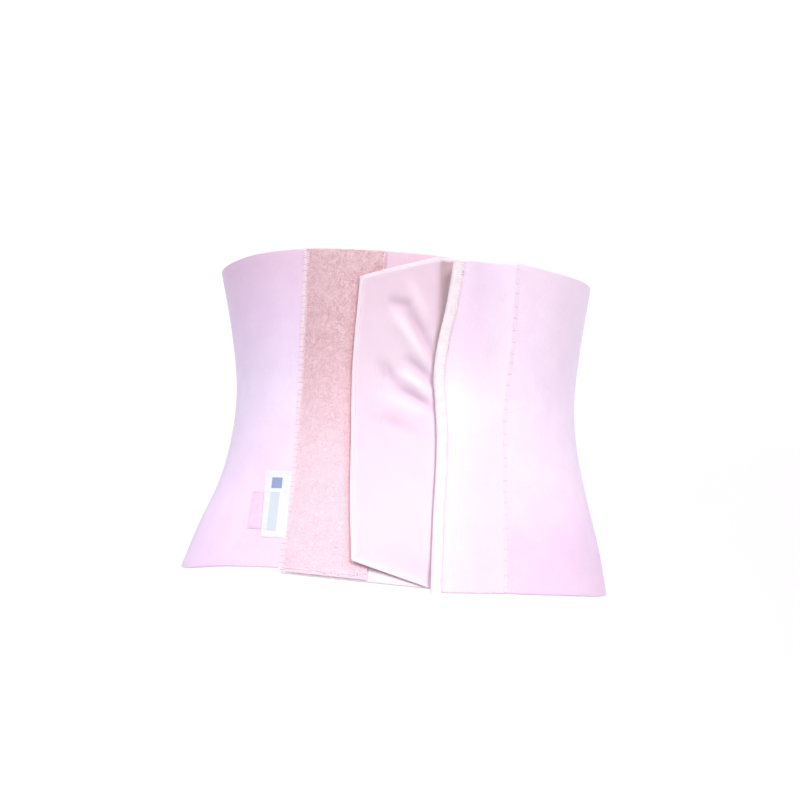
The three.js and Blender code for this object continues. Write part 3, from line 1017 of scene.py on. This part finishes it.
def sewn(name, rows, finish, radius, flat=1.0):
    """One mesh for rows of stitches, each a line of points (s, z, lift) in mm; flat is height by width."""
    stitches = np.concatenate(rows)
    count, steps = stitches.shape[:2]
    s, z, lift = np.moveaxis(stitches, -1, 0)
    middle = on_body(s, z, lift).reshape(count, steps, 1, 3)
    along = np.gradient(middle, axis=1)
    side = np.cross(along, on_body(s, z, lift + 1).reshape(count, steps, 1, 3) - middle)
    out = np.cross(side, along)
    turn = np.linspace(0, 2 * math.pi, THREAD_SIDES, endpoint=False)[:, None]
    points = middle + radius * MM * (flat * np.cos(turn) * unit(out) + np.sin(turn) * unit(side))
    corner = np.arange(count * steps * THREAD_SIDES).reshape(count, steps, THREAD_SIDES)
    walls = quads(np.concatenate([corner, corner[..., :1]], -1))
    caps = [*corner[:, 0, ::-1].tolist(), *corner[:, -1].tolist()]
    s, z = np.broadcast_arrays(s[..., None] + turn[:, 0] * radius, z[..., None])
    piece = woven_piece(name, points.reshape(-1, 3), [*walls.tolist(), *caps], s, z)
    if flat < 1:
        piece.data.shade_flat()
    dress(piece, finish)
    print(f"{name}: {count} stitches")


def straight_stitches(path, pitch, share=0.75, rise=0.35):
    """A row of stitches along path(t), t from 0 to 1, each covering a share of its pitch."""
    s, z, _ = np.broadcast_arrays(*path(np.linspace(0, 1, PATH_SAMPLES)))
    count = max(1, round(np.hypot(np.diff(s), np.diff(z)).sum() / pitch))
    t = (np.arange(count)[:, None] + share * STITCH_STEPS) / count
    s, z, lift = np.broadcast_arrays(*path(t))
    return np.stack([s, z, lift + rise * (np.sin(math.pi * STITCH_STEPS) - STITCH_DIVE)], -1)


print("points along a stitch:", len(STITCH_STEPS))

# %% [markdown]
# ## The two front seams
# Both seams are flat cover seams: the panels meet edge to edge, a close zigzag of soft floss crosses the
# joint, and every few millimetres a thin thread ties it down. On the left the floss is pale, holds down the
# loop strip's edge too, and reads as light dashes. On the right it hardly shows. Floss lies flat, so its
# section is a low ellipse with flat shading: a round and smooth one would look grey.

# %% Cover seams
ZIGZAG_PITCH, ZIGZAG_SLIP = 1.7, 0.15
LEFT_REACH, RIGHT_REACH = 2.4, 1.6
FLOSS_RADIUS, FLOSS_FLAT = 0.52, 0.3
ON_CLOTH, ON_FLOSS = 0.1, 0.25
TIE_SLIP = 1 / 6
SEAM_INSET = 1
# Where the step up to the loop strip begins and ends, in mm from the left seam.
STEP_UP = 0.4, 1.4
pale_thread = thread_finish("pale_thread", "fce1ec", "ffeef5")
lilac_thread = thread_finish("lilac_thread", "f4e0f4", "faebfa")
rose_thread = thread_finish("rose_thread", "dcb6c6", "f4dee8")


def zigzag(seam, reach, lift, bottom, top):
    """Legs of thread to and fro across seam(z), with lift(across) of the cloth under them."""
    feet = np.arange(bottom, top - ZIGZAG_PITCH, ZIGZAG_PITCH)[:, None]
    feet = feet + chance.uniform(-ZIGZAG_SLIP, ZIGZAG_SLIP, feet.shape)
    legs = []
    for way, start in ((1, 0), (-1, 0.5)):
        across = way * reach * (2 * STITCH_STEPS - 1)
        z = feet + ZIGZAG_PITCH * (start + 0.5 * STITCH_STEPS)
        legs.append(np.stack(np.broadcast_arrays(seam(z) + across, z, lift(across) + ON_CLOTH), -1))
    return legs


def ties(seam, reach, lift, bottom, top, pitch):
    """Thin threads straight across the floss."""
    z = np.arange(bottom + pitch / 2, top, pitch)[:, None]
    z = z + pitch * chance.uniform(-TIE_SLIP, TIE_SLIP, z.shape)
    across = reach * (2 * STITCH_STEPS - 1)
    return [np.stack(np.broadcast_arrays(seam(z) + across, z, lift(across) + ON_FLOSS), -1)]


def left_joint(across):
    """Lift of the cloth on either side of the left seam, from the side panel up to the loop strip."""
    middle, thick = strip_layer(across - LOOP_FROM_SEAM)
    return between(WALL, middle + thick / 2, eased(across, *STEP_UP))


def right_joint(across):
    """The same for the right seam, where both panels are level."""
    return WALL


left_top, left_bottom = left_front_rims(0.0)
left_run = left_seam, LEFT_REACH, left_joint, left_bottom + SEAM_INSET, left_top - SEAM_INSET
sewn("left_cover_seam", zigzag(*left_run), pale_thread, FLOSS_RADIUS, FLOSS_FLAT)
sewn("left_seam_ties", ties(*left_run, pitch=4.8), rose_thread, radius=0.22)

right_top, right_bottom = right_front_rims(1.0)
right_run = right_seam, RIGHT_REACH, right_joint, right_bottom + SEAM_INSET, right_top - SEAM_INSET
sewn("right_cover_seam", zigzag(*right_run), lilac_thread, FLOSS_RADIUS, FLOSS_FLAT)
sewn("right_seam_ties", ties(*right_run, pitch=9), rose_thread, radius=0.2)

# %% [markdown]
# ## The other rows
# The binding, the strip, the flap's border and the label are topstitched a little inside their edges. A few
# short stitches set close together are a bar tack: they lock the binding's top and the tab's ends.

# %% Binding
white_thread = thread_finish("white_thread", "f0e6ec", "fff6fa")
BINDING_INSET = 1.2
TACK_FROM_TOP, TACK_PITCH, TACK_LENGTH, TACK_ROWS = 7, 1.2, 2.4, 3


def on_binding(from_edge, z):
    """A place on the binding's outer leaf, by the way from the panel's free edge."""
    s = panel_edge(z)[0] + from_edge
    return s, z, right_front_lift(s, z) + WALL + GAP + BINDING_TAPE


def binding_stitch(t):
    z = between(binding_bottom + SEAM_INSET, binding_top - SEAM_INSET, t)
    return on_binding(BINDING_WIDTH - BINDING_INSET, z)


def binding_tack(row):
    def path(t):
        from_edge = BINDING_WIDTH + TACK_LENGTH * (t - 0.5)
        return on_binding(from_edge, binding_top - TACK_FROM_TOP - TACK_PITCH * row)
    return path


sewn("binding_stitches", [straight_stitches(binding_stitch, pitch=3.1)], white_thread, radius=0.27)
tacks = [straight_stitches(binding_tack(row), TACK_LENGTH, share=1.0) for row in range(TACK_ROWS)]
sewn("binding_bar_tack", tacks, white_thread, radius=0.3)

# %% Flap border
BORDER_STITCH = 3.7
SLANT_END_U = 0.66


def corner_places(cut, inset):
    """Places (u, v) of a pattern inside its corners, from the lower left one round."""
    u, v = inset / cut[0], inset / cut[1]
    return [(u, v), (1 - u, v), (1 - u, 1 - v), (u, 1 - v)]


def row_between(place, lift, first, last, pitch):
    """A row between two places (u, v) of a pattern, at the lift of the cloth there."""
    def path(t):
        s, z = place(*(between(a, b, t) for a, b in zip(first, last)))
        return s, z, lift(s, z)
    return straight_stitches(path, pitch)


def on_border(s, z):
    return on_flap(s, z) + BORDER_RISE


low_end, *_, high_end = corner_places(FLAP_CUT, BORDER_STITCH)
border_corners = [(SLANT_END_U, low_end[1]), low_end, high_end, (SLANT_END_U, high_end[1])]
border_sides = zip(border_corners, border_corners[1:])
border_rows = [row_between(flap_place, on_border, *ends, pitch=2.4) for ends in border_sides]
sewn("flap_border_stitches", border_rows, pale_thread, radius=0.16)

# %% Strip, label and tab
STRIP_INSET, LABEL_INSET, TAB_INSET = 1.5, 1.3, 1.4
# Where the strip's two rows begin and end, in mm from its sides.
ROW_FROM_BOTTOM, ROW_FROM_TOP, ROW_FROM_LEFT, ROW_FROM_RIGHT = 3, 2, 4, 2
STRIP_FACE = LOOP_LIFT + GROUND + ON_CLOTH


def strip_edge(t):
    top, bottom = left_front_rims_at(LOOP_TO_S)
    return LOOP_TO_S - STRIP_INSET, between(bottom + ROW_FROM_BOTTOM, top - ROW_FROM_TOP, t), STRIP_FACE


def strip_foot(t):
    s = between(left_seam(left_bottom) + ROW_FROM_LEFT, LOOP_TO_S - ROW_FROM_RIGHT, t)
    return s, left_front_rims_at(s)[1] + LOOP_BOTTOM_INSET + ROW_FROM_BOTTOM, STRIP_FACE


def tape_row(ends, first, last):
    return row_between(tape_place(ends), on_tape, first, last, pitch=2.3)


strip_rows = [straight_stitches(path, pitch=2.8) for path in (strip_edge, strip_foot)]
sewn("loop_strip_stitches", strip_rows, pale_thread, radius=0.3)
corners = corner_places(LABEL_CUT, LABEL_INSET)
label_rows = [tape_row(LABEL_ENDS, *ends) for ends in zip(corners, corners[1:] + corners[:1])]
sewn("label_stitches", label_rows, white_thread, radius=0.17)
low_left, low_right, high_right, high_left = corner_places(TAB_CUT, TAB_INSET)
tab_rows = [tape_row(TAB_ENDS, low_left, low_right), tape_row(TAB_ENDS, high_left, high_right)]
sewn("tab_stitches", tab_rows, rose_thread, radius=0.24)

# %% [markdown]
# ## Stage, light and camera
# The belt is held up as a body would hold it, above a plain pale floor. A plane would end in a hard line, so
# the floor curves up into a wall all round. A large soft lamp stands high in front and to the right and a
# second one to the left. Their beams are aimed below the belt, so that cloth that leans back below the waist
# is bright and cloth that leans forward above it is darker. Two more lamps light only the wall.

# %% Stage
FLOOR_Z = -0.5
FLOOR_RADIUS, COVE, WALL_TOP = 1.9, 0.7, 2.6
FLOOR_RINGS = (0.5, 1.2)
COVE_STEPS, FLOOR_SIDES = 13, 96


def round_floor():
    """A disc that curves up into a wall, turned round the vertical axis."""
    bend = np.linspace(0, math.pi / 2, COVE_STEPS)
    profile = [(radius, 0) for radius in FLOOR_RINGS]
    profile += [(FLOOR_RADIUS + COVE * math.sin(a), COVE * (1 - math.cos(a))) for a in bend]
    profile += [(FLOOR_RADIUS + COVE, WALL_TOP)]
    turns = np.linspace(0, 2 * math.pi, FLOOR_SIDES, endpoint=False)
    points = [(r * math.cos(a), r * math.sin(a), FLOOR_Z + h) for r, h in profile for a in turns]
    ring = np.arange(len(points)).reshape(len(profile), len(turns))
    walls = quads(np.hstack([ring, ring[:, :1]]))[:, [0, 3, 2, 1]]
    mesh = bpy.data.meshes.new("floor")
    mesh.from_pydata(points, [], [ring[0].tolist(), *walls.tolist()])
    mesh.shade_smooth()
    floor_sockets = {"Roughness": 0.9, "Specular IOR Level": 0.1, "Base Color": dye("e9e7e8")}
    mesh.materials.append(new_material("pale_floor", floor_sockets))
    return in_scene("floor", mesh)


round_floor()
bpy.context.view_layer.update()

# %% Light
def soft_lamp(name, place, aim, size, power, tint, beam=180):
    """A round soft lamp at a place in metres that shines towards another; its beam is in degrees."""
    lamp = bpy.data.lights.new(name, "AREA")
    lamp.shape = "DISK"
    lamp.size = size
    lamp.energy = power
    lamp.color = dye(tint)[:3]
    lamp.spread = math.radians(beam)
    holder = in_scene(name, lamp)
    holder.location = place
    holder.rotation_euler = (Vector(aim) - Vector(place)).to_track_quat("-Z", "Y").to_euler()


BEAM = 55
soft_lamp("key_lamp", (0.75, -1.5, 1.0), (0.1, 0, -0.25), size=0.8, power=2.9, tint="fffaf6", beam=BEAM)
soft_lamp("fill_lamp", (-1.0, -1.4, 0.9), (0, 0, -0.45), size=1.0, power=2.5, tint="fbf8ff", beam=BEAM)
for side in (-1, 1):
    place, aim = (0.8 * side, 0.7, 1.5), (0.4 * side, 2.4, 0.1)
    soft_lamp(f"backdrop_lamp_{side}", place, aim, size=0.8, power=26, tint="ffffff")
world = bpy.data.worlds.new("studio")
world.use_nodes = True
sky = world.node_tree.nodes["Background"]
sky.inputs["Color"].default_value = dye("f3f1ff")
sky.inputs["Strength"].default_value = 0.27
bpy.context.scene.world = world
bpy.context.scene.view_settings.view_transform = "Standard"

# %% Camera
EYE = Vector((-3.5, -1212, -132.5)) * MM
LOOKS_UP, LEANS = math.radians(6.39), math.radians(3.27)
FRAME_PIXELS, FOCAL_PIXELS = 800, 1462

camera = bpy.data.cameras.new("camera")
camera.sensor_width = 36
camera.lens = camera.sensor_width * FOCAL_PIXELS / FRAME_PIXELS
viewer = in_scene("camera", camera)
tilt = Matrix.Rotation(math.pi / 2 + LOOKS_UP, 4, "X") @ Matrix.Rotation(LEANS, 4, "Z")
viewer.matrix_world = Matrix.Translation(EYE) @ tilt
bpy.context.scene.camera = viewer
print("lens in mm:", round(camera.lens, 1))
